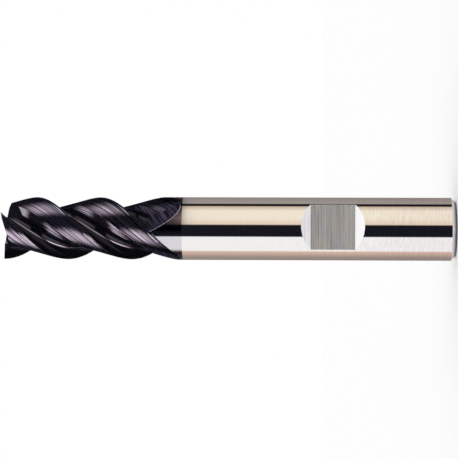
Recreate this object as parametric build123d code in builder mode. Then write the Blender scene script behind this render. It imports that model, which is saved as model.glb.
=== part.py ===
from build123d import *
from math import cos, pi, radians, sin, tan
import os

os.makedirs("parts", exist_ok=True)

# A solid carbide end mill with three helical teeth and a plain shank with one clamping flat.
# It stands on its shank end: Z runs up the axis, the shank's end face is at zero and the
# cutting end is on top. Lengths are in millimetres and angles in degrees.

# Overall sizes
overall_length = 72.0
shank_diameter = 10.0
cutter_diameter = 10.0
head_length = 28.5
shank_end_chamfer = 0.8

# Clamping flat with sloped end walls, and the side of the shank that it faces
flat_length = 7.0
flat_height = 8.5
flat_centre_height = 19.5
flat_wall_angle = 45.0
flat_direction = -85.3

# Helical teeth: the angle at which the first one reaches the tip, the flute ahead of each
# cutting edge, how far the edge is ground below the neck, and the lands and back behind it
tooth_count = 3
helix_angle = 45.75
tooth_phase = -58.6
core_diameter = 6.1
rake_angle = 10.0
flute_wall_angle = 30.0
edge_grind = 0.05
primary_width = 0.38
primary_relief = 11.0
secondary_width = 0.45
secondary_relief = 14.5
back_relief = 15.5
back_radius = 4.15
back_arc = 52.0

# Run-out at the shank end of each flute: two ramps, the first of them facing this far ahead
# of the flute's own cutting edge, and both a little lower than the floor where they start
run_out_length = 28.5
run_out_ahead = 108.7
ramp_angle = 21.0
ramp_turn = 28.0
ramp_sink = 0.35

# End teeth, which dip towards the axis, with a gash ahead of each
end_dish = 2.0
end_primary_width = 1.1
end_primary_relief = 11.5
end_secondary_relief = 21.0
end_overrun = 1.25
end_corner_radius = 0.6
gash_angle = 37.6
gash_opening = 73.0
gash_centre_depth = 1.0

# How far the ground-away bodies reach outside the stock, and ahead of the edges they form
outside_radius = 0.75 * cutter_diameter
land_lead_in = 0.2 * cutter_diameter
end_lead_in = 0.1 * cutter_diameter
hook_lead_in = 25.0

shank_radius = shank_diameter / 2
cutter_radius = cutter_diameter / 2
core_radius = core_diameter / 2
tooth_pitch = 360 / tooth_count
lead = pi * cutter_diameter / tan(radians(helix_angle))
turn_per_length = 360 / lead


def polar(radius, angle):
    """Point at a radius and an angle from the X direction."""
    return Vector(radius * cos(radians(angle)), radius * sin(radians(angle)))


def backwards(point, relief):
    """Direction behind a cutting edge that falls away from the circle by the relief angle."""
    outward = point.normalized()
    behind = Vector(outward.Y, -outward.X)
    return behind * cos(radians(relief)) - outward * sin(radians(relief))


# Flute, with the cutting edge behind it on the local X axis. The hooked rake face is an arc
# that leaves the edge at the rake angle and touches the core, then a wall runs outwards.
flute_depth = cutter_radius - core_radius
hook_radius = flute_depth * (cutter_radius + core_radius) / (
    2 * core_radius + 2 * cutter_radius * sin(radians(rake_angle))
)
hook_centre = Vector(cutter_radius, 0) + polar(hook_radius, 90 + rake_angle)
with BuildSketch() as flute_section:
    with BuildLine():
        hook_start = hook_centre + polar(hook_radius, rake_angle - 90 + hook_lead_in)
        hook = JernArc(
            hook_start,
            tangent=polar(1, rake_angle + 180 + hook_lead_in),
            radius=hook_radius,
            arc_size=flute_wall_angle - rake_angle - 90 - hook_lead_in,
        )
        wall = Line(hook @ 1, (hook @ 1) + (hook % 1) * outside_radius)
        outside_corner = (outside_radius, outside_radius)
        Polyline(wall @ 1, outside_corner, (outside_radius, 0), hook_start)
    make_face()

# Relief behind a cutting edge on the local X axis: the primary land, the secondary land and
# the long rounded back. The primary land takes a little off the edge, so that it is sharp.
edge_radius = cutter_radius - edge_grind
edge = Vector(edge_radius, 0)
primary_fall = backwards(edge, primary_relief)
primary_start = edge - primary_fall * land_lead_in
primary_end = edge + primary_fall * primary_width
secondary_end = primary_end + backwards(primary_end, secondary_relief) * secondary_width
with BuildSketch() as relief_section:
    with BuildLine():
        Polyline(primary_start, primary_end, secondary_end)
        back = JernArc(
            secondary_end,
            tangent=backwards(secondary_end, back_relief),
            radius=back_radius,
            arc_size=-back_arc,
        )
        outside_back = (back @ 1).normalized() * outside_radius
        outside_start = primary_start.normalized() * outside_radius
        Polyline(back @ 1, outside_back, outside_start, primary_start)
    make_face()

# Stock that no wheel touches below one channel. It ends in two ramps, which start in the core
# and reach the surface on neighbouring sides, and in a flat top that stays inside the core.
run_out_height = overall_length - run_out_length
run_out_direction = tooth_phase - run_out_length * turn_per_length + run_out_ahead
ramp_rise = (flute_depth + ramp_sink) / tan(radians(ramp_angle))
with BuildPart() as untouched:
    with BuildSketch(Plane.XY.offset(run_out_height - cutter_diameter)):
        Circle(2 * outside_radius)
    extrude(amount=cutter_diameter + ramp_rise)
    for direction in (run_out_direction, run_out_direction + ramp_turn):
        ramp = Plane(
            origin=polar(cutter_radius, direction) + Vector(0, 0, run_out_height),
            z_dir=polar(cos(radians(ramp_angle)), direction)
            + Vector(0, 0, sin(radians(ramp_angle))),
        )
        split(bisect_by=ramp, keep=Keep.BOTTOM)


def ground_channel(section, edge_at_tip):
    """Helical channel of a section, from past the tip down to the run-out.

    The section stands square to the axis and turns with the helix, and edge_at_tip is where
    its local X axis points at the tip.
    """
    start_height = run_out_height - cutter_radius
    start_angle = edge_at_tip + (start_height - overall_length) * turn_per_length
    start_plane = Plane(
        origin=(0, 0, start_height), x_dir=polar(1, start_angle), z_dir=(0, 0, 1)
    )
    run = overall_length + cutter_radius - start_height
    with BuildPart() as channel:
        with BuildLine(start_plane):
            spine = Line((0, 0), (0, 0, run))
        with BuildLine() as guide:
            Helix(pitch=lead, height=run, radius=cutter_radius, center=(0, 0, start_height))
        sweep(sections=start_plane * section, path=spine, binormal=guide.edge())
        add(untouched.part, mode=Mode.SUBTRACT)
    return channel.part


# The flute of one tooth and the relief of the next one share a channel and its run-out.
flute = ground_channel(flute_section.sketch, tooth_phase)
relief = ground_channel(relief_section.sketch, tooth_phase + tooth_pitch)

# End relief of one tooth, on a plane across its end edge and looking in along it, with local
# Y down. It falls behind the edge in two steps and runs a little past the axis.
end_edge = polar(cos(radians(end_dish)), tooth_phase) + Vector(0, 0, sin(radians(end_dish)))
tooth_corner = polar(edge_radius, tooth_phase) + Vector(0, 0, overall_length)
end_plane = Plane(
    origin=tooth_corner + end_edge * cutter_radius,
    x_dir=polar(1, tooth_phase + 90),
    z_dir=-end_edge,
)
end_primary_slope = tan(radians(end_primary_relief))
end_primary_fall = end_primary_width * end_primary_slope
end_secondary_fall = cutter_diameter * tan(radians(end_secondary_relief))
end_back = -end_primary_width - cutter_diameter
with BuildPart() as end_relief:
    with BuildSketch(end_plane):
        with BuildLine():
            Polyline(
                (end_lead_in, -end_lead_in * end_primary_slope),
                (-end_primary_width, end_primary_fall),
                (end_back, end_primary_fall + end_secondary_fall),
                (end_back, -cutter_radius),
                (end_lead_in, -cutter_radius),
                close=True,
            )
        make_face()
    extrude(amount=cutter_diameter + end_overrun)
    inner_wall = faces().sort_by(Axis(origin=(0, 0, 0), direction=end_edge))[0]
    lower_edges = inner_wall.edges().sort_by(Axis.Z)[:3]
    fillet(lower_edges, end_corner_radius)

# Gash ahead of one end edge: a V whose floor runs down and outwards from near the axis.
gash_plane = Plane(
    origin=(0, 0, overall_length - gash_centre_depth),
    x_dir=polar(1, tooth_phase + 90),
    z_dir=polar(cos(radians(gash_angle)), tooth_phase) - Vector(0, 0, sin(radians(gash_angle))),
)
gash_width = cutter_diameter * tan(radians(gash_opening))
with BuildPart() as gash:
    with BuildSketch(gash_plane):
        with BuildLine():
            Polyline((0, 0), (0, cutter_diameter), (gash_width, cutter_diameter), close=True)
        make_face()
    extrude(amount=cutter_diameter, both=True)

# Clamping flat, drawn along the shank: a trough with sloped ends that opens past the surface.
flat_plane = Plane(
    origin=(0, 0, flat_centre_height),
    x_dir=(0, 0, 1),
    z_dir=polar(1, flat_direction + 90),
)
flat_level = flat_height - shank_radius
flat_end = flat_length / 2
wall_run = shank_radius / tan(radians(flat_wall_angle))

with BuildPart() as end_mill:
    with BuildSketch():
        Circle(shank_radius)
    extrude(amount=overall_length - head_length)
    chamfer(edges().group_by(Axis.Z)[0], length=shank_end_chamfer)
    with BuildSketch(Plane.XY.offset(overall_length - head_length)):
        Circle(cutter_radius)
    extrude(amount=head_length)
    with BuildSketch(flat_plane):
        with BuildLine():
            Polyline(
                (-flat_end, flat_level),
                (flat_end, flat_level),
                (flat_end + wall_run, flat_level + shank_radius),
                (-flat_end - wall_run, flat_level + shank_radius),
                close=True,
            )
        make_face()
    extrude(amount=shank_radius, both=True, mode=Mode.SUBTRACT)
    with PolarLocations(0, tooth_count):
        add(flute, mode=Mode.SUBTRACT)
    with PolarLocations(0, tooth_count):
        add(relief, mode=Mode.SUBTRACT)
    with PolarLocations(0, tooth_count):
        add(end_relief.part, mode=Mode.SUBTRACT)
    with PolarLocations(0, tooth_count):
        add(gash.part, mode=Mode.SUBTRACT)

end_mill.part.label = "end_mill"
export_step(end_mill.part, "parts/end_mill.step")
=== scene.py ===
# %% [markdown]
# # A coated carbide end mill on a white table
#
# An end mill is ground out of one rod of tungsten carbide. Three helical flutes give it three
# teeth, a dark hard coating covers its cutting head, and the bare polished shank carries one
# flat, on which a screw in the holder clamps it. This lesson grinds the same rod again as
# surfaces of numbers and cuts, coats it, and lights it like a catalogue photograph.
#
# One way to start would be from nothing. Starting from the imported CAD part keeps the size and
# the place of the tool exact, and everything made here is laid over it.

from math import atan2, cos, degrees, pi, radians, sin, sqrt, tan

import bpy
import numpy as np
from mathutils import Matrix, Vector


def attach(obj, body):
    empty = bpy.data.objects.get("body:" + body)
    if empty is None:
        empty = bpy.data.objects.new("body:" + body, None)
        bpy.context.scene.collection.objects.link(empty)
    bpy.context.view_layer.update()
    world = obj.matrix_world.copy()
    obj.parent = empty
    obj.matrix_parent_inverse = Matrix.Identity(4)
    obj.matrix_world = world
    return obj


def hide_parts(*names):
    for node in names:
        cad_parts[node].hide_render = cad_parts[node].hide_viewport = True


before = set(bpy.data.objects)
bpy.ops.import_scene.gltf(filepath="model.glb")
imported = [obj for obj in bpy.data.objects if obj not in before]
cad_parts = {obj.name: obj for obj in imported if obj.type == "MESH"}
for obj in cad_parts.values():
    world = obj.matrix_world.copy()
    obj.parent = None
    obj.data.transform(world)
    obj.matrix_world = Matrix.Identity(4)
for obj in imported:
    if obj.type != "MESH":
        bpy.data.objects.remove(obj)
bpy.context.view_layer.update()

# %% [markdown]
# ## Sizes
#
# All sizes are those of the CAD part, in millimetres and degrees, with the shank's end face at
# height zero and the teeth on top. The cutting edge of the first tooth reaches the tip at the
# angle `TOOTH_PHASE`, and the helix turns the edges back by `TURN` degrees per millimetre.

# %% The sizes of the tool
MM = 0.001
LENGTH = 72.0
RADIUS = 5.0
CHAMFER = 0.8
EDGE_RADIUS = 4.95
CORE_RADIUS = 3.05
HELIX_ANGLE = 45.75
TOOTH_PHASE = -58.6
TOOTH_COUNT = 3
PITCH = 360 / TOOTH_COUNT
TURN = 360 / (2 * pi * RADIUS / tan(radians(HELIX_ANGLE)))
RUN_OUT_HEIGHT = 43.5
COATING_HEIGHT = 43.3
OUTSIDE = 7.5
print(f"the helix turns {TURN:.2f} degrees per millimetre")

# %% [markdown]
# ## Meshes from grids of points
#
# Each surface of the tool is a function of two parameters: one runs along an outline and the
# other from station to station. Sampling such a function gives a grid of points, and a grid
# needs only one rule for its faces: every point is joined to its neighbours. The first and the
# last station are closed by one face each, so that each body is solid and can cut another.


# %% A closed body from a grid of points
def grid_body(name, points):
    """Object whose stations are the rows of points[station, around, xyz], in millimetres.

    The rows close on themselves and run counter-clockwise seen from the last station.
    """
    stations, around = points.shape[:2]
    index = np.arange(stations * around).reshape(stations, around)
    beside = np.roll(index, -1, axis=1)
    quads = np.stack([index[:-1], beside[:-1], beside[1:], index[1:]], axis=-1)
    faces = quads.reshape(-1, 4).tolist() + [index[0, ::-1].tolist(), index[-1].tolist()]
    mesh = bpy.data.meshes.new(name)
    mesh.from_pydata((points.reshape(-1, 3) * MM).tolist(), [], faces)
    body = bpy.data.objects.new(name, mesh)
    bpy.context.scene.collection.objects.link(body)
    return body


# %% [markdown]
# ## Grinding as a subtraction
#
# A grinding wheel takes a volume away from the rod. A Boolean difference does the same, and it
# finds the curve where two surfaces meet exactly, which a pushed grid would only step along.
# The modifier is applied at once, so that the next cut starts from plain faces.


# %% Cut one body with another
def cut(body, tool):
    """Takes the volume of tool away from body, then removes tool."""
    modifier = body.modifiers.new("cut", "BOOLEAN")
    modifier.operation = "DIFFERENCE"
    modifier.solver = "MANIFOLD"
    modifier.object = tool
    depsgraph = bpy.context.evaluated_depsgraph_get()
    result = bpy.data.meshes.new_from_object(body.evaluated_get(depsgraph))
    body.modifiers.remove(modifier)
    body.data = result
    bpy.data.objects.remove(tool)


# %% [markdown]
# ## The rod
#
# A rod of carbide is ground round before anything else, and its end gets a chamfer. A cylinder
# from the Add menu would do, but a surface of revolution has the chamfer in it from the start:
# the profile is a list of radius and height, and the other parameter is the angle around the
# axis. Its rows are far apart where the profile is straight. One stands where the coating ends.

# %% Turn the rod
ROD_SEGMENTS = 192
BELOW_FLAT, ABOVE_FLAT = 8, 31
ROD_PROFILE = [
    (RADIUS - CHAMFER, 0),
    (RADIUS, CHAMFER),
    (RADIUS, BELOW_FLAT),
    (RADIUS, ABOVE_FLAT),
    (RADIUS, COATING_HEIGHT),
    (RADIUS, LENGTH),
]


def revolved(profile, segments):
    """P(i, a) = (r_i cos a, r_i sin a, z_i) for a profile of radii and heights."""
    radius, height = np.array(profile, float).T
    angle = np.linspace(0, 2 * pi, segments, endpoint=False)
    x = radius[:, None] * np.cos(angle)
    y = radius[:, None] * np.sin(angle)
    z = np.broadcast_to(height[:, None], x.shape)
    return np.stack([x, y, z], axis=-1)


tool = grid_body("carbide_tool", revolved(ROD_PROFILE, ROD_SEGMENTS))
print("rod faces", len(tool.data.polygons))

# %% [markdown]
# ## The outline of one channel
#
# Seen along the axis, the ground-away channel between two teeth is one outline. It starts ahead
# of a cutting edge with the hooked rake face, an arc that touches the core, and goes on with a
# straight wall. Then it comes to the next tooth from behind: a rounded back, a secondary land
# and a narrow primary land, which ends in that tooth's cutting edge and passes it. It could be
# drawn by hand as a curve. Here it is worked out from angles and radii.


# %% Points, directions and arcs in the plane
def polar(radius, angle):
    """Point at a radius and an angle in degrees from the X direction."""
    angle = np.radians(angle)
    return np.stack([radius * np.cos(angle), radius * np.sin(angle)], axis=-1)


def backwards(point, relief):
    """Direction behind a cutting edge that falls away from the circle by the relief angle."""
    outward = point / np.linalg.norm(point)
    behind = np.array([outward[1], -outward[0]])
    return behind * cos(radians(relief)) - outward * sin(radians(relief))


def turned(points, angle):
    """Plane points turned about the axis by an angle in degrees."""
    c, s = cos(radians(angle)), sin(radians(angle))
    return points @ np.array([[c, s], [-s, c]])


def arc(centre, radius, start, end, count):
    """Points centre + radius (cos a, sin a) for count angles a from start to end."""
    return centre + polar(radius, np.linspace(start, end, count))


def bearing(point):
    """Angle in degrees from the X direction to a point."""
    return degrees(atan2(point[1], point[0]))


# %% The hooked rake face and the wall of a flute
RAKE_ANGLE = 10.0
WALL_ANGLE = 30.0
HOOK_LEAD_IN = 25.0
HOOK_POINTS = 45
hook_radius = (RADIUS - CORE_RADIUS) * (RADIUS + CORE_RADIUS) / (
    2 * CORE_RADIUS + 2 * RADIUS * sin(radians(RAKE_ANGLE))
)
hook_centre = np.array([RADIUS, 0]) + polar(hook_radius, 90 + RAKE_ANGLE)
hook_start = RAKE_ANGLE - 90 + HOOK_LEAD_IN
hook = arc(hook_centre, hook_radius, hook_start, WALL_ANGLE - 180, HOOK_POINTS)
wall_direction = polar(1, 90 + WALL_ANGLE)
print(f"hook radius {hook_radius:.2f} mm")

# %% [markdown]
# ## Lands and back of a tooth
#
# Behind the cutting edge the tooth falls away from the circle in steps, so that only the edge
# touches the work: two narrow flat lands and a rounded back. Each step is a direction that
# leaves the circle by its relief angle. The first one also starts ahead of the edge, so that
# it takes a little off and leaves the edge sharp.

# %% The lands and the rounded back of a tooth
PRIMARY_WIDTH, PRIMARY_RELIEF = 0.38, 11.0
SECONDARY_WIDTH, SECONDARY_RELIEF = 0.45, 14.5
BACK_RELIEF, BACK_RADIUS = 15.5, 4.15
LAND_LEAD_IN = 2.0
edge = np.array([EDGE_RADIUS, 0])
primary_fall = backwards(edge, PRIMARY_RELIEF)
primary_start = edge - primary_fall * LAND_LEAD_IN
primary_end = edge + primary_fall * PRIMARY_WIDTH
secondary_end = primary_end + backwards(primary_end, SECONDARY_RELIEF) * SECONDARY_WIDTH
back_fall = backwards(secondary_end, BACK_RELIEF)
back_centre = secondary_end + BACK_RADIUS * np.array([back_fall[1], -back_fall[0]])
print("the back starts at", secondary_end.round(3), "around", back_centre.round(3))

# %% [markdown]
# ## Closing the outline
#
# The wall of the flute runs up to the back of the next tooth. The point where the line meets
# the circle is worked out from their distance, which is exact and needs no search. Outside the
# tool the outline closes with a wide arc.

# %% Where the wall meets the back of the next tooth
next_centre = turned(back_centre, PITCH)
along = (next_centre - hook[-1]) @ wall_direction
apart = np.linalg.norm(next_centre - hook[-1] - along * wall_direction)
wall_length = along + sqrt(BACK_RADIUS**2 - apart**2)
meeting = hook[-1] + wall_length * wall_direction
meeting_angle = bearing(meeting - next_centre) % 360
back_angle = bearing(turned(secondary_end, PITCH) - next_centre) % 360
print(f"wall {wall_length:.2f} mm, back from {meeting_angle:.1f} to {back_angle:.1f} degrees")

# %% Join the outline
WALL_POINTS = 12
BACK_POINTS = 26
OUTER_POINTS = 14
wall = hook[-1] + np.linspace(0, wall_length, WALL_POINTS)[1:-1, None] * wall_direction
back = arc(next_centre, BACK_RADIUS, meeting_angle, back_angle, BACK_POINTS)
lands = turned(np.array([primary_end, primary_start]), PITCH)
outer = arc(np.zeros(2), OUTSIDE, bearing(lands[-1]), bearing(hook[0]), OUTER_POINTS)
channel_outline = np.concatenate([hook, wall, back, lands, outer])[::-1]
print("outline points", len(channel_outline))

# %% [markdown]
# ## Twisting the outline into a channel
#
# The channel is the outline carried along the axis while it turns with the helix. Another way
# is a curve swept along a path, but the formula is shorter: rotate the outline by the turn that
# belongs to each height.


# %% A twisted body
def twisted(outline, heights, phase):
    """P(i, z) = R(phase + TURN (z - LENGTH)) outline_i, at height z."""
    angle = np.radians(phase + TURN * (heights - LENGTH))[:, None]
    x, y = outline.T
    return np.stack(
        [
            x * np.cos(angle) - y * np.sin(angle),
            x * np.sin(angle) + y * np.cos(angle),
            np.broadcast_to(heights[:, None], (len(heights), len(outline))),
        ],
        axis=-1,
    )


# %% [markdown]
# ## Bodies on a tilted plane
#
# The other cuts are straight: a drawn outline pushed along a direction. The plane is given by
# its origin, its X direction and the direction of the push, as in a CAD sketch.


# %% A straight body on a plane
def unit(*vector):
    """Vector of length one."""
    return np.array(vector, float) / np.linalg.norm(vector)


def tilted(direction, angle):
    """Unit vector towards a direction around the axis, raised from level by an angle."""
    return np.append(polar(cos(radians(angle)), direction), sin(radians(angle)))


def pushed(outline, origin, x_axis, z_axis, depths, raised=None):
    """P(i, d) = origin + x_i X + (y_i - raised_d) Y + d Z on the plane of X and Z."""
    y_axis = np.cross(z_axis, x_axis)
    depths = np.array(depths, float)
    x, y = np.array(outline, float).T
    lift = np.zeros(len(depths)) if raised is None else raised
    return (
        np.array(origin, float)
        + x[None, :, None] * x_axis
        + (y[None, :] - lift[:, None])[..., None] * y_axis
        + depths[:, None, None] * z_axis
    )


# %% [markdown]
# ## Where the flutes run out
#
# At the end of a flute the grinding wheel is lifted out. What it leaves is one hollow surface
# from the floor of the flute up to the outside. Two plane ramps side by side come close to it,
# and they are easy to place. Both bound the stock that stays untouched below the channel.

# %% The untouched stock below one channel
RAMP_ANGLE = 21.0
RAMP_TURN = 28.0
RAMP_SINK = 0.35
RUN_OUT_AHEAD = 108.7
ramp_rise = (RADIUS - CORE_RADIUS + RAMP_SINK) / tan(radians(RAMP_ANGLE))
ramp_direction = TOOTH_PHASE - (LENGTH - RUN_OUT_HEIGHT) * TURN + RUN_OUT_AHEAD
SQUARE = np.array([(-1, -1), (1, -1), (1, 1), (-1, 1)], float)
STOCK_REACH, STOCK_BOTTOM = 20, 25
RAMP_REACH = 60


def untouched_stock(name, turn):
    """Block below a channel, sloped off by the two ramps."""
    top = RUN_OUT_HEIGHT + ramp_rise
    x_axis, z_axis = unit(1, 0, 0), unit(0, 0, 1)
    outline = SQUARE * STOCK_REACH
    block = grid_body(name, pushed(outline, (0, 0, 0), x_axis, z_axis, [STOCK_BOTTOM, top]))
    for direction in (ramp_direction + turn, ramp_direction + turn + RAMP_TURN):
        outward = tilted(direction, RAMP_ANGLE)
        start = np.append(polar(RADIUS, direction), RUN_OUT_HEIGHT)
        sideways = tilted(direction + 90, 0)
        ramp = pushed(SQUARE * RAMP_REACH, start, sideways, outward, [0, RAMP_REACH])
        cut(block, grid_body("ramp", ramp))
    return block


print(f"the ramps rise {ramp_rise:.2f} mm towards {ramp_direction:.1f} degrees")

# %% [markdown]
# ## Grinding the channels
#
# All three channels are alike and a third of a turn apart. An array of copies could hold them,
# but each needs its own run-out. So each channel is cut by its own untouched stock first, which
# makes it stop at the ramps, and then it is taken away from the rod.

# %% Grind the three channels
STATION_STEP = 0.22
PAST_END = 1
first_station, last_station = RUN_OUT_HEIGHT - PAST_END, LENGTH + PAST_END + STATION_STEP
stations = np.arange(first_station, last_station, STATION_STEP)
for tooth in range(TOOTH_COUNT):
    turn = tooth * PITCH
    channel = grid_body("channel", twisted(channel_outline, stations, TOOTH_PHASE + turn))
    cut(channel, untouched_stock("untouched", turn))
    cut(tool, channel)
print("faces after the channels", len(tool.data.polygons))

# %% [markdown]
# ## End teeth
#
# The end of the tool cuts too. Behind each end edge the face falls away in two steps, and ahead
# of it a gash makes room for the chips. The relief is one outline pushed in along the edge. Its
# inner end is rounded by the rim of the wheel, so the outline is raised there station by station.

# %% The relief behind each end edge
END_DISH = 2.0
END_WIDTH, END_RELIEF = 1.1, 11.5
END_SECOND_RELIEF = 21.0
END_OVERRUN = 1.25
END_ROUNDING = 0.6
END_LEAD_IN = 1.0
REACH = 10.0
ROUNDING_POINTS = 9
end_slope = tan(radians(END_RELIEF))
end_fall = END_WIDTH * end_slope
end_outline = [
    (END_LEAD_IN, -RADIUS),
    (END_LEAD_IN, -END_LEAD_IN * end_slope),
    (-END_WIDTH, end_fall),
    (-END_WIDTH - REACH, end_fall + REACH * tan(radians(END_SECOND_RELIEF))),
    (-END_WIDTH - REACH, -RADIUS),
]
inner_end = 2 * RADIUS + END_OVERRUN
to_wall = END_ROUNDING * (1 - np.sin(np.linspace(0, pi / 2, ROUNDING_POINTS)))
rounding = END_ROUNDING - np.sqrt(END_ROUNDING**2 - (END_ROUNDING - to_wall) ** 2)
end_depths = np.append(0, inner_end - to_wall)
end_raised = np.append(0, rounding)
print(f"the end falls {end_fall:.2f} mm behind its edge, then more steeply")

# %% [markdown]
# ## Gashes
#
# A gash is one pass of a sharp wheel: a V in front of the end edge, whose floor runs down and
# outwards from near the axis. It is a triangle pushed along that floor.

# %% The gash ahead of each end edge
GASH_ANGLE = 37.6
GASH_OPENING = 73.0
GASH_DEPTH = 1.0
gash_width = REACH * tan(radians(GASH_OPENING))
gash_outline = [(0, 0), (gash_width, REACH), (0, REACH)]
print(f"the gash opens to {gash_width:.1f} mm at {REACH:.0f} mm depth")

# %% Grind the end
for tooth in range(TOOTH_COUNT):
    phase = TOOTH_PHASE + tooth * PITCH
    edge_line = tilted(phase, END_DISH)
    start = np.append(polar(EDGE_RADIUS, phase), LENGTH) + edge_line * RADIUS
    sideways = tilted(phase + 90, 0)
    relief = pushed(end_outline, start, sideways, -edge_line, end_depths, end_raised)
    cut(tool, grid_body("end_relief", relief))
for tooth in range(TOOTH_COUNT):
    phase = TOOTH_PHASE + tooth * PITCH
    sideways, gash_run = tilted(phase + 90, 0), tilted(phase, -GASH_ANGLE)
    start = (0, 0, LENGTH - GASH_DEPTH)
    gash = pushed(gash_outline, start, sideways, gash_run, [-REACH, REACH])
    cut(tool, grid_body("gash", gash))
print("faces after the end teeth", len(tool.data.polygons))

# %% [markdown]
# ## The clamping flat
#
# The flat is a trough across the shank with sloped ends, as a wheel with bevelled sides grinds
# it. The screw of the holder presses on its floor. Moving points of the round shank down would
# need a row of them at each border. One outline, pushed across the shank and past both of its
# sides, cuts the borders where they really lie.

# %% Grind the clamping flat
FLAT_LENGTH = 7.0
FLAT_LEVEL = 3.5
FLAT_HEIGHT = 19.5
FLAT_DIRECTION = -85.3
flat_outline = [
    (-FLAT_LENGTH / 2, FLAT_LEVEL),
    (FLAT_LENGTH / 2, FLAT_LEVEL),
    (FLAT_LENGTH / 2 + RADIUS, FLAT_LEVEL + RADIUS),
    (-FLAT_LENGTH / 2 - RADIUS, FLAT_LEVEL + RADIUS),
]
across = tilted(FLAT_DIRECTION + 90, 0)
past_shank = RADIUS + 1
start = (0, 0, FLAT_HEIGHT)
flat = pushed(flat_outline, start, unit(0, 0, 1), across, [-past_shank, past_shank])
cut(tool, grid_body("flat", flat))
print("faces after the flat", len(tool.data.polygons))

# %% [markdown]
# ## Normals
#
# Ground carbide is smooth, but its edges are sharp. Edges that turn by more than a few degrees
# stay sharp, and the faces between them are shaded as one surface. More faces would help too,
# at a price. On the round rod the true normal is known: it points away from the axis. So it is
# written down there instead of averaged, and the reflections run straight.

# %% Sharp edges
SHARP_ANGLE = 5.0
mesh = tool.data
mesh.polygons.foreach_set("use_smooth", np.ones(len(mesh.polygons), bool))
mesh.set_sharp_from_angle(angle=radians(SHARP_ANGLE))
print("edges", len(mesh.edges))


# %% Read the mesh as whole arrays
def read(items, key, kind=float, width=None):
    """One value per item of a mesh, or one row of width values."""
    shape = len(items) if width is None else (len(items), width)
    values = np.empty(shape, kind)
    items.foreach_get(key, values.ravel())
    return values


point = read(mesh.vertices, "co", width=3) / MM
loop_vertex = read(mesh.loops, "vertex_index", int)
face_start = read(mesh.polygons, "loop_start", int)
face_size = read(mesh.polygons, "loop_total", int)
face_middle = np.add.reduceat(point[loop_vertex], face_start) / face_size[:, None]
face_height = face_middle[:, 2]
print("points", len(point), "faces", len(face_middle))

# %% True normals on the round surface
MIDDLE_SAG, POINT_SAG = 0.01, 0.004
radius = np.hypot(point[:, 0], point[:, 1])
least_radius = np.minimum.reduceat(radius[loop_vertex], face_start)
on_rod = np.hypot(face_middle[:, 0], face_middle[:, 1]) > RADIUS - MIDDLE_SAG
on_rod &= (face_height > CHAMFER) & (least_radius > RADIUS - POINT_SAG)
normals = read(mesh.corner_normals, "vector", width=3)
outward = point[loop_vertex] * (1, 1, 0)
outward /= np.linalg.norm(outward, axis=1)[:, None]
on_rod_loop = np.repeat(on_rod, face_size)
normals[on_rod_loop] = outward[on_rod_loop]
mesh.normals_split_custom_set(normals.tolist())
print("faces on the round surface", int(on_rod.sum()), "of", len(on_rod))

# %% [markdown]
# ## Shader sums
#
# A shader network is a formula. It could be wired node by node, but then the formula is hard to
# see. This small class lets it be written as one: an output of a node knows how to add,
# subtract and multiply, and each of these becomes a Math node.


# %% Node outputs that calculate
class Wire:
    """Output socket of a node, with arithmetic that builds Math nodes."""

    def __init__(self, graph, socket):
        self.graph = graph
        self.socket = socket

    def math(self, operation, *values):
        """Math node of this output and the values after it."""
        return self.graph.math(operation, self, *values)

    def __add__(self, other):
        return self.math("ADD", other)

    def __sub__(self, other):
        return self.math("SUBTRACT", other)

    def __rsub__(self, other):
        return self.graph.math("SUBTRACT", other, self)

    def __mul__(self, other):
        return self.math("MULTIPLY", other)

    __radd__ = __add__
    __rmul__ = __mul__

    def step(self, low, high):
        """0 below low and 1 above high, with a straight rise between them."""
        rise = (self - low) * (1 / (high - low))
        return self.graph.math("ADD", rise, 0.0, clamp=True)

    def between(self, rise, fall):
        """1 between two soft borders, each given by its low and high limit, and 0 outside."""
        return self.step(*rise) * (1 - self.step(*fall))


# %% The stops of a colour ramp
def set_stops(elements, stops):
    """Gives the elements of a colour ramp their (position, colour), in rising order."""
    while len(elements) < len(stops):
        elements.new(1.0)
    for element, (position, colour) in zip(elements, stops):
        element.position = position
        element.color = colour


# %% [markdown]
# ## Nodes from one method
#
# Every node is added in the same three moves: what kind it is, how it is set, and what goes
# into it. The settings come first because some of them decide which inputs a node has. The
# short methods below it only save writing.


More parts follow.
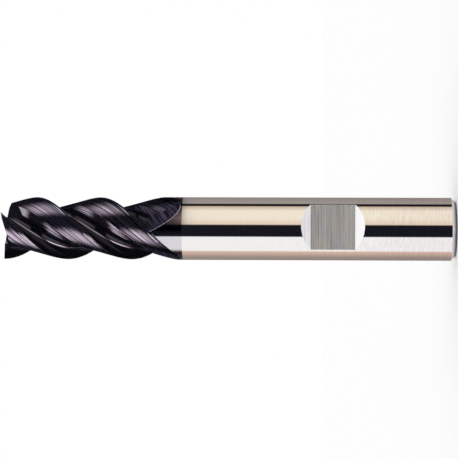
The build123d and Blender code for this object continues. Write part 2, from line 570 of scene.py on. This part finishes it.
# %% A node tree that is filled by one method
class Graph:
    """Node tree of a material or a world, emptied and ready for new nodes."""

    def __init__(self, owner):
        owner.use_nodes = True
        self.name = owner.name
        self.tree = owner.node_tree
        self.tree.nodes.clear()

    def connect(self, place, value):
        """Links a wire to an input, or writes a plain value there."""
        if isinstance(value, Wire):
            self.tree.links.new(value.socket, place)
        else:
            place.default_value = value

    def node(self, kind, settings=None, values=(), **inputs):
        """Adds a node and returns its outputs by name.

        Its settings come first, among them the stops of a ramp. Then its inputs get values or
        wires: those in values by their order, the others by name.
        """
        node = self.tree.nodes.new(kind)
        for key, value in (settings or {}).items():
            if key == "stops":
                set_stops(node.color_ramp.elements, value)
            else:
                setattr(node, key, value)
        places = [place for place in node.inputs if place.enabled]
        for place, value in zip(places, values):
            self.connect(place, value)
        for key, value in inputs.items():
            self.connect(node.inputs[key.replace("_", " ")], value)
        return {output.name: Wire(self, output) for output in node.outputs if output.enabled}

    def math(self, operation, *values, clamp=False):
        """Math node of up to three values, each a wire or a number."""
        settings = {"operation": operation, "use_clamp": clamp}
        return self.node("ShaderNodeMath", settings, values)["Value"]

    def mix(self, factor, first, second, blend="MIX"):
        """Mixes two colours, each a wire or a tuple."""
        settings = {"data_type": "RGBA", "blend_type": blend}
        return self.node("ShaderNodeMix", settings, (factor, first, second))["Result"]

    def surface(self, **inputs):
        """Gives the material one principled surface."""
        surface = self.node("ShaderNodeBsdfPrincipled", **inputs)["BSDF"]
        self.node("ShaderNodeOutputMaterial", Surface=surface)
        print(self.name, "has", len(self.tree.nodes), "nodes")


# %% [markdown]
# ## Places and patterns
#
# Every finish here is a function of the place on the tool. The place comes from the object's
# own coordinates, so a pattern stays where it is when the tool is turned. Marks could be drawn
# as pictures, but noise that is stretched along one direction looks like the scratches of a
# wheel, at any distance.


# %% Helpers for a finish
def new_material(name):
    """Material of a name, and the graph of its nodes."""
    material = bpy.data.materials.new(name)
    return material, Graph(material)


def position(graph):
    """X, Y and Z of the shaded point, in millimetres."""
    place = graph.node("ShaderNodeTexCoord")["Object"]
    parts = graph.node("ShaderNodeSeparateXYZ", Vector=place)
    return [parts[axis] * (1 / MM) for axis in "XYZ"]


def noise(graph, detail, **place):
    """Noise around 0.5 at a place given by X, Y and Z, about one wave to a unit."""
    vector = graph.node("ShaderNodeCombineXYZ", **place)["Vector"]
    return graph.node("ShaderNodeTexNoise", Vector=vector, Scale=1.0, Detail=detail)["Fac"]


def shaded(graph, colour, tone):
    """A colour times a tone, which is 1 where the colour stays as it is."""
    grey = graph.node("ShaderNodeCombineColor", Red=tone, Green=tone, Blue=tone)["Color"]
    return graph.mix(1.0, colour, grey, "MULTIPLY")


# %% Height of the marks of a wheel
MARK_HEIGHT = 0.05 * MM


def mark_bump(graph, marks, strength):
    """Normal of a surface on which the marks stand up to MARK_HEIGHT high."""
    inputs = {"Strength": strength, "Distance": MARK_HEIGHT, "Height": marks}
    return graph.node("ShaderNodeBump", **inputs)["Normal"]


# %% [markdown]
# ## The polished shank
#
# Carbide is a grey metal. The shank is ground and polished round and round, so its marks are
# rings: a pattern of the height alone. They change the gloss a little and not the shape. Near
# the end, where the holder rubs, the metal is mottled and slightly warmer.

# %% Polished carbide
CARBIDE, CARBIDE_AT_END = (0.77, 0.76, 0.755, 1), (0.745, 0.715, 0.72, 1)
WARM_END = 8, 18
RUBBED_END = 12, 30
RUB_AT_END, RUB_EVERYWHERE = 0.24, 0.08
shank_material, graph = new_material("polished_carbide")
x, y, z = position(graph)
rings = noise(graph, 2.0, X=x * 0.05, Y=y * 0.05, Z=z * 9)
rubs = noise(graph, 3.0, X=x * 0.7, Y=y * 0.7, Z=z * 3) - 0.5
tone = rubs * (1 - z.step(*RUBBED_END)) * RUB_AT_END + rubs * RUB_EVERYWHERE + 1
colour = graph.mix(z.step(*WARM_END), CARBIDE_AT_END, CARBIDE)
graph.surface(
    Base_Color=shaded(graph, colour, tone), Metallic=1.0, Roughness=rings * 0.04 + 0.02
)

# %% [markdown]
# ## The ground flat
#
# The wheel crosses the flat, so its marks run across the shank, and they are coarser. They
# scatter the light, which makes the flat an even grey. A bump lets the marks catch the light,
# and their tone keeps them visible where the light is even. The flat is darker at both ends, in
# the corners below the sloped ends: painted shade.

# %% Ground carbide
WARM_GREY, COOL_GREY = (0.83, 0.79, 0.745, 1), (0.78, 0.785, 0.79, 1)
SHADED_FLAT_ENDS = 3.25, 3.5
flat_material, graph = new_material("ground_carbide")
x, y, z = position(graph)
marks = noise(graph, 3.0, X=x * 0.15, Y=y * 0.15, Z=z * 14)
clouds = noise(graph, 1.0, X=x * 0.3, Z=z * 0.4)
colour = graph.mix(clouds.step(0.35, 0.65), WARM_GREY, COOL_GREY)
from_middle = (z - FLAT_HEIGHT).math("ABSOLUTE")
# Painted shade: the floor is darkened at both ends, in the corners below the sloped ends.
tone = (marks - 0.5) * 1.9 + 1 - from_middle.step(*SHADED_FLAT_ENDS) * 0.25
graph.surface(
    Base_Color=shaded(graph, colour, tone),
    Metallic=0.74,
    Roughness=0.42,
    Normal=mark_bump(graph, marks, 0.12),
)

# %% [markdown]
# ## The sloped ends of the flat
#
# The bevelled sides of the wheel leave two sloped ends. They face the bright studio above and
# below, and their nearly white colour is a painted reflection of it, with a few lilac stripes on
# the end towards the teeth. A pale surface that isn't metal stays bright from every side, which a
# mirror would not.

# %% Sloped ends of the flat
# Painted reflection: the sloped ends are nearly white and not metal, standing in for the bright
# studio that they mirror.
SLOPE_PAINTED_REFLECTION, LILAC_STRIPE = (0.99, 0.99, 1.0, 1), (0.86, 0.72, 0.87, 1)
TOOTH_SIDE = 22, 24
STRIPE_ENDS = 1.6, 2.8
slope_material, graph = new_material("bevelled_flat_end")
x, y, z = position(graph)
stripes = noise(graph, 1.0, X=x * 0.1, Z=z * 2.6).step(0.45, 0.6)
stripes = stripes * z.step(*TOOTH_SIDE) * (1 - x.math("ABSOLUTE").step(*STRIPE_ENDS))
graph.surface(
    Base_Color=graph.mix(stripes, SLOPE_PAINTED_REFLECTION, LILAC_STRIPE),
    Metallic=0.0,
    Roughness=0.3,
    Specular_IOR_Level=1.0,
)

# %% [markdown]
# ## The chamfered rim
#
# The chamfer breaks the sharp edge of the shank's end. Its colour is a painted reflection: bright
# where it meets the shank and dark towards the end face. A reflection would show this from one
# side only, so the change is a step of its colour with the height.

# %% Chamfered rim
# Painted reflection: the rim is coloured bright near the shank and dark towards the end face.
RIM_PAINTED_DARK, RIM_PAINTED_BRIGHT = (0.16, 0.14, 0.2, 1), (0.95, 0.92, 0.9, 1)
rim_material, graph = new_material("chamfered_rim")
x, y, z = position(graph)
graph.surface(
    Base_Color=graph.mix(z.step(0.25, 0.55), RIM_PAINTED_DARK, RIM_PAINTED_BRIGHT), Metallic=0.15, Roughness=0.3
)

# %% [markdown]
# ## Coordinates that follow the helix
#
# Grinding marks run along the helix. If each point is turned back by the turn of its height,
# all points of one mark land on the same spot, so a pattern of the turned-back position draws
# the marks on every surface of the tooth at once.


# %% Turned-back coordinates in a material
def turned_back(x, y, z):
    """X and Y turned back by the angle that the helix has turned at the height Z."""
    angle = (z - LENGTH) * radians(TURN)
    cosine, sine = angle.math("COSINE"), angle.math("SINE")
    return x * cosine + y * sine, y * cosine - x * sine


def ahead_of(x, y, start):
    """Degrees from the direction start to a place, counted anew for each tooth."""
    angle = y.math("ARCTAN2", x) * degrees(1) - start
    return angle.math("FLOORED_MODULO", PITCH)


# %% [markdown]
# ## The coating
#
# The coating is a hard film, a few thousandths of a millimetre thick, so it is a finish and not
# a shape. It is nearly black with a violet sheen, and the marks of the wheel show through it:
# they are strong on the backs of the teeth and faint in the polished flutes and on the narrow
# lands. One function makes all of them, and a layer adds what only one of them has.
#
# The borders of the lands and the bottom of the flute catch the light as thin bright lines. On
# a real tool a very fine rounding can do that. Here these lines are painted highlights, laid as
# colour by the distance from the cutting edge, because a mesh that is fine enough would be far
# too heavy.

# %% Layers of colour on the coating
# Painted highlights: the bright lines on the lands and in the flute.
LAND_HIGHLIGHT_COLOUR, FLUTE_HIGHLIGHT_COLOUR = (0.98, 0.96, 1.0, 1), (0.7, 0.6, 0.68, 1)
FIRST_CREASE, SECOND_CREASE = 0.06, 0.45
CREASE_BORDER = 0.05, 0.09
FLUTE_HIGHLIGHT_START, FLUTE_HIGHLIGHT_END = (11, 13), (14, 16)
FLUTE_HIGHLIGHT_ABOVE = 50, 53
RUN_OUT_TONE = (0.07, 0.058, 0.095, 1)
BACK_ABOVE = 46, 49


def crease_highlights(graph, colour, back, z):
    """Painted highlights: bright lines at two distances in millimetres behind the cutting edge.
    """
    behind = (PITCH - ahead_of(*back, TOOTH_PHASE)) * (radians(1) * RADIUS)
    from_first = (behind - FIRST_CREASE).math("ABSOLUTE")
    from_second = (behind - SECOND_CREASE).math("ABSOLUTE")
    bright = 1 - from_first.math("MINIMUM", from_second).step(*CREASE_BORDER)
    return graph.mix(bright, colour, LAND_HIGHLIGHT_COLOUR)


def flute_highlight(graph, colour, back, z):
    """Painted highlight: a bright line in the flute, some degrees ahead of the cutting edge."""
    ahead = ahead_of(*back, TOOTH_PHASE)
    bright = ahead.between(FLUTE_HIGHLIGHT_START, FLUTE_HIGHLIGHT_END) * z.step(*FLUTE_HIGHLIGHT_ABOVE)
    return graph.mix(bright, colour, FLUTE_HIGHLIGHT_COLOUR)


def fade(graph, colour, back, z):
    """Fades the colour into the tone of the run-out, downwards."""
    return graph.mix(z.step(*BACK_ABOVE), RUN_OUT_TONE, colour)


# %% Coated carbide
DARKEST_MARK = 0.1


def coated(name, colour, roughness, mark_depth, mark_and_glint_tone, metal=1.0, layer=None):
    """Metal of one colour with helical grinding marks, whose light streaks are partly painted
    highlight, and a layer if there is one.
    """
    material, graph = new_material(name)
    x, y, z = position(graph)
    back = turned_back(x, y, z)
    marks = noise(graph, 4.0, X=back[0] * 6.5, Y=back[1] * 6.5, Z=z * 0.05)
    # The grinding marks are real. Their strong light streaks, above all on the backs, are painted
    # highlight.
    tone = ((marks - 0.5) * mark_and_glint_tone + 1).math("MAXIMUM", DARKEST_MARK)
    if layer:
        colour = layer(graph, colour, back, z)
    graph.surface(
        Base_Color=shaded(graph, colour, tone),
        Metallic=metal,
        Roughness=roughness,
        Normal=mark_bump(graph, marks, mark_depth),
    )
    return material


# The flutes have the dark coating, and their colour, far darker than that of the backs, is also
# painted shade.
VIOLET, FLUTE_VIOLET_AND_SHADE = (0.35, 0.293, 0.36, 1), (0.04, 0.036, 0.054, 1)
PALE_VIOLET, DARK_VIOLET = (0.42, 0.4, 0.43, 1), (0.2, 0.16, 0.23, 1)
back_material = coated("coated_back", VIOLET, 0.15, 0.5, 9.0, layer=fade)
flute_material = coated("coated_flute", FLUTE_VIOLET_AND_SHADE, 0.12, 0.1, 0.6, 0.94, flute_highlight)
end_material = coated("coated_end", PALE_VIOLET, 0.1, 0.1, 0.3)
land_material = coated("coated_land", DARK_VIOLET, 0.12, 0.1, 0.5, layer=crease_highlights)

# %% [markdown]
# ## The coated run-outs
#
# Where the wheel was lifted, its marks lie across the ramp and slant. The pattern is laid in
# millimetres: one coordinate goes sideways around the tool and the other up. The border towards
# the neck carries a painted highlight on one side, again as colour.

# %% Coated run-out
RUN_OUT_COLOUR, RUN_OUT_RIM_HIGHLIGHT = (0.036, 0.03, 0.06, 1), (0.62, 0.58, 0.64, 1)
RIM_RADIUS = 4.91, 4.97
RIM_SIDE = -0.5, 0.5
ramp_material, graph = new_material("coated_run_out")
x, y, z = position(graph)
from_axis = (x * x + y * y).math("SQRT")
from_ramp = ahead_of(x, y, ramp_direction - PITCH / 2) - PITCH / 2
sideways = from_ramp * from_axis * radians(1)
marks = noise(graph, 2.0, X=sideways * 2.6 - z * 5.4, Y=sideways * 0.2 + z * 0.1)
tone = ((marks - 0.5) * 9.0 + 1).math("MAXIMUM", DARKEST_MARK)
# Painted highlight along one side of the border towards the neck.
rim = from_axis.step(*RIM_RADIUS) * (1 - sideways.step(*RIM_SIDE))
graph.surface(
    Base_Color=graph.mix(rim, shaded(graph, RUN_OUT_COLOUR, tone), RUN_OUT_RIM_HIGHLIGHT),
    Metallic=0.5,
    Roughness=0.35,
)

# %% [markdown]
# ## The coated neck
#
# The three strips of full round surface between the run-outs are coated too. Each strip is lilac
# grey in its middle and nearly black beside the run-outs. This is a painted reflection and not a
# change of the coating: bright where the strip mirrors light, dark where it mirrors dark. Only
# one side of a real tool was known, so the painted reflection was laid out to match it and is
# repeated for each tooth. It depends on the place on the tool alone, and stays where it is when
# the tool is seen from another side.

# %% Coated neck
NECK_DIRECTION = -113.0
# Painted reflection: lilac grey in the middle of each strip, nearly black beside the run-outs.
NECK_PAINTED_DARK, NECK_PAINTED_HALF_DARK = (0.03, 0.025, 0.04, 1), (0.3, 0.24, 0.27, 1)
NECK_PAINTED_BRIGHT = (0.61, 0.59, 0.63, 1)
neck_material, graph = new_material("coated_neck")
x, y, z = position(graph)
from_middle = ahead_of(x, y, NECK_DIRECTION - PITCH / 2) - PITCH / 2
middle = from_middle.between((-25, -17), (13, 21))
shoulder = from_middle.between((22, 42), (42, 60))
colour = graph.mix(shoulder, NECK_PAINTED_DARK, NECK_PAINTED_HALF_DARK)
graph.surface(
    Base_Color=graph.mix(middle, colour, NECK_PAINTED_BRIGHT), Metallic=1.0, Roughness=0.05
)

# %% [markdown]
# ## Which surface a face belongs to
#
# After the cuts, a face doesn't know which wheel ground it. Its middle tells: turned back by
# the helix, it lies on the hook, the wall, a land or a back of the channel's outline. A ramp is
# plane, so there the direction that the face looks in is enough. Masks of whole arrays do this
# for all faces at once.

# %% The faces in the turned-back section
facing = read(mesh.polygons, "normal", width=3)
face_turn = np.radians(TOOTH_PHASE + TURN * (face_height - LENGTH))
cosine, sine = np.cos(face_turn), np.sin(face_turn)
middle_x = face_middle[:, 0] * cosine + face_middle[:, 1] * sine
middle_y = face_middle[:, 1] * cosine - face_middle[:, 0] * sine
section = np.stack([middle_x, middle_y], axis=-1)
print("faces in the section", len(section))


# %% Faces on the outline of the channel
def from_circle(points, centre, radius):
    """How far plane points are from a circle."""
    return abs(np.linalg.norm(points - centre, axis=1) - radius)


NEAR = 0.02
BEFORE_WALL = 0.1
PAST_LAND = 0.03
FLOOR_SHARE = 0.55
WALL_END_HEIGHT = 51.0
LAND_END_HEIGHT = 47.2
land_reach = PRIMARY_WIDTH + SECONDARY_WIDTH + PAST_LAND
wall_side = np.array([-wall_direction[1], wall_direction[0]])
in_flute, on_land, on_ramp, on_back = np.zeros((4, len(section)), bool)
for tooth in range(TOOTH_COUNT):
    local = turned(section, -tooth * PITCH)
    on_hook = from_circle(local, hook_centre, hook_radius) < NEAR
    on_wall = abs((local - hook[-1]) @ wall_side) < NEAR
    up_wall = (local - hook[-1]) @ wall_direction
    on_floor = on_wall & (up_wall > -BEFORE_WALL) & (up_wall < FLOOR_SHARE * wall_length)
    past_floor = on_wall & ~on_floor & ~on_rod & (up_wall > 0)
    in_flute |= on_hook | on_floor
    on_ramp |= past_floor & (face_height < WALL_END_HEIGHT)
    near_edge = np.linalg.norm(local - edge, axis=1) < land_reach
    behind_edge = (local - edge) @ primary_fall > 0
    on_land |= near_edge & behind_edge & ~on_hook & (face_height > LAND_END_HEIGHT)
    on_back |= from_circle(local, next_centre, BACK_RADIUS) < NEAR
print("flute", int(in_flute.sum()), "land", int(on_land.sum()), "back", int(on_back.sum()))

# %% Faces on the ramps and at the end
SAME_WAY = 0.9999
END_HEIGHT = 66.0
for tooth in range(TOOTH_COUNT):
    for direction in (ramp_direction, ramp_direction + RAMP_TURN):
        on_ramp |= facing @ tilted(direction + tooth * PITCH, RAMP_ANGLE) > SAME_WAY
on_end = (face_height > END_HEIGHT) & ~on_land & ~in_flute & ~on_rod & ~on_back
print("run-out", int(on_ramp.sum()), "end", int(on_end.sum()))

# %% Faces on the flat and its sloped ends
SLOPE_TOLERANCE = 0.001
SLOPE_REACH = 6
from_flat = abs(face_height - FLAT_HEIGHT)
in_flat = facing @ tilted(FLAT_DIRECTION, 0) > SAME_WAY
in_flat &= ~on_rod & (from_flat < FLAT_LENGTH)
sloped = abs(abs(facing[:, 2]) - sqrt(0.5)) < SLOPE_TOLERANCE
on_slope = ~on_rod & sloped & (from_flat < SLOPE_REACH)
print("flat", int(in_flat.sum()), "sloped ends", int(on_slope.sum()))

# %% [markdown]
# ## Giving the finishes
#
# One mesh can carry many materials, each in a slot, and every face holds the number of its
# slot. The tool could be split into one object per finish, but it is one solid piece, so it
# stays one. The finishes are given in order, and a later one covers an earlier one.

# %% Give each face its finish
on_head = face_height > COATING_HEIGHT
finishes = [
    (shank_material, np.ones(len(section), bool)),
    (rim_material, (face_height > 0) & (face_height < CHAMFER)),
    (flat_material, in_flat),
    (slope_material, on_slope),
    (back_material, on_head),
    (neck_material, on_head & on_rod),
    (ramp_material, on_head & on_ramp),
    (end_material, on_end),
    (land_material, on_head & on_land & ~on_end & ~on_rod),
    (flute_material, on_head & in_flute),
]
finish = np.zeros(len(section), np.int32)
mesh.materials.clear()
for number, (material, faces) in enumerate(finishes):
    mesh.materials.append(material)
    finish[faces] = number
mesh.polygons.foreach_set("material_index", finish)
print("faces of each finish", np.bincount(finish).tolist())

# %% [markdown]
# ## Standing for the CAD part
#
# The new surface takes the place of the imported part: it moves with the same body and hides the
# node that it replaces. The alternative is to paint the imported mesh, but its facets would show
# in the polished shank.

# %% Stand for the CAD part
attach(tool, "root")
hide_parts("end_mill")
print(tool.name, "has", len(mesh.polygons), "faces")

# %% [markdown]
# ## The table
#
# The tool stands on a plain pale table that runs out of the picture on all sides. A lit table
# would be grey, so camera rays add a little light to it. It is hidden from mirrored rays,
# because its reflection would cover the panels that the polished rod has to show.

# %% Pale floor
FLOOR_REACH = 3
FLOOR_GAP = 0.02 * MM
floor_mesh = bpy.data.meshes.new("floor")
corners = [(x * FLOOR_REACH, y * FLOOR_REACH, 0) for x, y in SQUARE]
floor_mesh.from_pydata(corners, [], [(0, 1, 2, 3)])
floor = bpy.data.objects.new("floor", floor_mesh)
bpy.context.scene.collection.objects.link(floor)
floor.location.z = -FLOOR_GAP
floor.visible_glossy = False
floor_material, graph = new_material("pale_floor")
seen = graph.node("ShaderNodeLightPath")["Is Camera Ray"]
graph.surface(
    Base_Color=(0.7, 0.7, 0.7, 1),
    Roughness=0.9,
    Specular_IOR_Level=0.0,
    Emission_Color=graph.mix(seen, (0, 0, 0, 1), (0.18, 0.18, 0.18, 1)),
    Emission_Strength=1.0,
)
floor_mesh.materials.append(floor_material)

# %% [markdown]
# ## The studio
#
# A polished rod shows what stands around it. The studio is a ring of light and dark panels,
# which the rod shows as stripes along its length. Panels could be built as objects, but then
# they would throw light and shadow too. Painted on the world, by the angle of the direction
# around the upright axis, only mirrored rays see them. Seen directly, the backdrop is white,
# and the soft light is white from all sides.

# %% Panels around the tool
WHITE_PANEL = (1.13, 1.13, 1.12, 1)
CREAM_CARD = (1.12, 1.02, 0.85, 1)
CREAM_EDGE = (0.97, 0.80, 0.63, 1)
CREAM_SHADE = (0.69, 0.55, 0.40, 1)
ROSE_CARD = (0.87, 0.62, 0.50, 1)
ROSE_SHADE = (0.42, 0.34, 0.30, 1)
GREY_CARD = (0.44, 0.39, 0.36, 1)
GREY_SHADE = (0.26, 0.23, 0.22, 1)
BLACK_CARD = (0.011, 0.011, 0.017, 1)
PANELS = [
    (-180, GREY_SHADE),
    (-126, ROSE_SHADE),
    (-93, ROSE_CARD),
    (-88, WHITE_PANEL),
    (-31, WHITE_PANEL),
    (-28, BLACK_CARD),
    (13, BLACK_CARD),
    (16, CREAM_EDGE),
    (40, CREAM_CARD),
    (68, CREAM_CARD),
    (89.5, CREAM_SHADE),
    (92.5, BLACK_CARD),
    (103.5, BLACK_CARD),
    (105, GREY_CARD),
    (180, GREY_SHADE),
]
world = bpy.data.worlds.new("studio")
bpy.context.scene.world = world
graph = Graph(world)
direction = graph.node("ShaderNodeTexCoord")["Generated"]
parts = graph.node("ShaderNodeSeparateXYZ", Vector=direction)
around = parts["X"].math("ARCTAN2", parts["Y"] * -1) * degrees(1)
height = parts["Z"].math("ARCSINE") * degrees(1)
stops = [((angle + 180) / 360, colour) for angle, colour in PANELS]
place = (around + 180) * (1 / 360)
ring = graph.node("ShaderNodeValToRGB", {"stops": stops}, (place,))["Color"]
print("panels", len(PANELS))

# %% [markdown]
# ## Panels above and below the ring
#
# The ring is low. The tilted surfaces of the teeth look past it, so they need panels of their
# own above and below. Each has two soft borders around the axis and two in height, in degrees.

# %% Panels above and below the ring
HIGH_PANEL = (1.12, 1.1, 1.12, 1)
DARK_ABOVE, DARK_BELOW = (0.010, 0.011, 0.02, 1), (0.028, 0.033, 0.036, 1)
white_high = around.between((-122, -96), (-57, -46)) * height.step(18, 22)
cream_high = around.between((24, 44), (68, 104)) * height.step(24, 29)
above = (white_high + cream_high * 0.75) * (1 - height.step(46, 60))
below = around.between((-104, -84), (-42, -30)) * height.between((-30, -22), (-16, -10))
dark = graph.mix(height.step(-12, 2), DARK_BELOW, DARK_ABOVE)
beyond = graph.mix(above + below * 1.5, dark, HIGH_PANEL)
print("nodes with the high and low panels", len(graph.tree.nodes))

# %% [markdown]
# ## The edge of the ring, the table's side and the ceiling
#
# The ring fades out above in two steps, a little higher on one side, as a card does that hangs
# at a slant. Low down there are a grey table's side and a grey back wall, and bright surfaces
# lie straight above and below.

# %% Edge of the ring, table's side and ceiling
TABLE_SIDE, LOW_BACK = (0.40, 0.39, 0.37, 1), (0.42, 0.4, 0.45, 1)
CEILING, UNDERSIDE = (1.1, 1.1, 1.14, 1), (1.1, 1.08, 1.12, 1)
RING_TOP, RING_SLANT = 4.6, 1.2
over = height - RING_TOP + around.step(-5, 5) * RING_SLANT
fading = 1 - over.step(0, 0.2) * 0.85 - over.step(0.2, 1.5) * 0.15
studio = graph.mix(height.step(-8, -5.5) * fading, beyond, ring)
table_side = around.between((-12, 8), (96, 120)) * (1 - height.step(-15, -10))
studio = graph.mix(table_side, studio, TABLE_SIDE)
low_back = around.math("ABSOLUTE").step(112, 128) * (1 - height.step(-26, -12))
studio = graph.mix(low_back, studio, LOW_BACK)
studio = graph.mix(height.step(82, 85), studio, CEILING)
studio = graph.mix(height.step(-85, -82), UNDERSIDE, studio)
print("nodes with the ceiling", len(graph.tree.nodes))

# %% [markdown]
# ## What each kind of ray sees
#
# The camera sees plain white, mirrored rays see the studio, and all others get soft light from
# every side. Lamps would give a clearer shadow, but a catalogue picture has hardly any.

# %% Background
SOFT_LIGHT = (1.15, 1.15, 1.15, 1)
ray = graph.node("ShaderNodeLightPath")
soft = graph.mix(ray["Is Camera Ray"], SOFT_LIGHT, (1, 1, 1, 1))
shown = graph.mix(ray["Is Glossy Ray"], soft, studio)
background = graph.node("ShaderNodeBackground", Color=shown, Strength=1.0)["Background"]
graph.node("ShaderNodeOutputWorld", Surface=background)
print(world.name, "has", len(graph.tree.nodes), "nodes")

# %% [markdown]
# ## Camera
#
# The tool stands upright, and the photograph lies on its side: the camera is rolled by a
# quarter turn, so that the tip points to the left. It stands low, nearer to the shank's end,
# with a long lens, so that both ends keep nearly the same scale.

# %% Camera
CAMERA_SIDE, CAMERA_DISTANCE, CAMERA_HEIGHT = -0.054, 326.0, 23.5
AIM_HEIGHT = 36.01
ROLL = 0.18
LENS = 160.8
camera_data = bpy.data.cameras.new("camera")
camera = bpy.data.objects.new("camera", camera_data)
bpy.context.scene.collection.objects.link(camera)
bpy.context.scene.camera = camera
place = Vector((CAMERA_SIDE, -CAMERA_DISTANCE, CAMERA_HEIGHT)) * MM
aim = Vector((CAMERA_SIDE, 0, AIM_HEIGHT)) * MM
back = (place - aim).normalized()
right = Vector((sin(radians(ROLL)), 0, -cos(radians(ROLL))))
right = (right - back * right.dot(back)).normalized()
up = back.cross(right)
camera.matrix_world = Matrix.Translation(place) @ Matrix((right, up, back)).transposed().to_4x4()
camera_data.sensor_width = 36.0
camera_data.lens = LENS
camera_data.clip_start = 0.01
camera_data.clip_end = 20.0
print("camera at", [round(value, 4) for value in place])

# %% [markdown]
# ## Colours as they are
#
# The Standard view shows each colour as it is worked out. A film curve would grey the white.

# %% View
bpy.context.scene.view_settings.view_transform = "Standard"
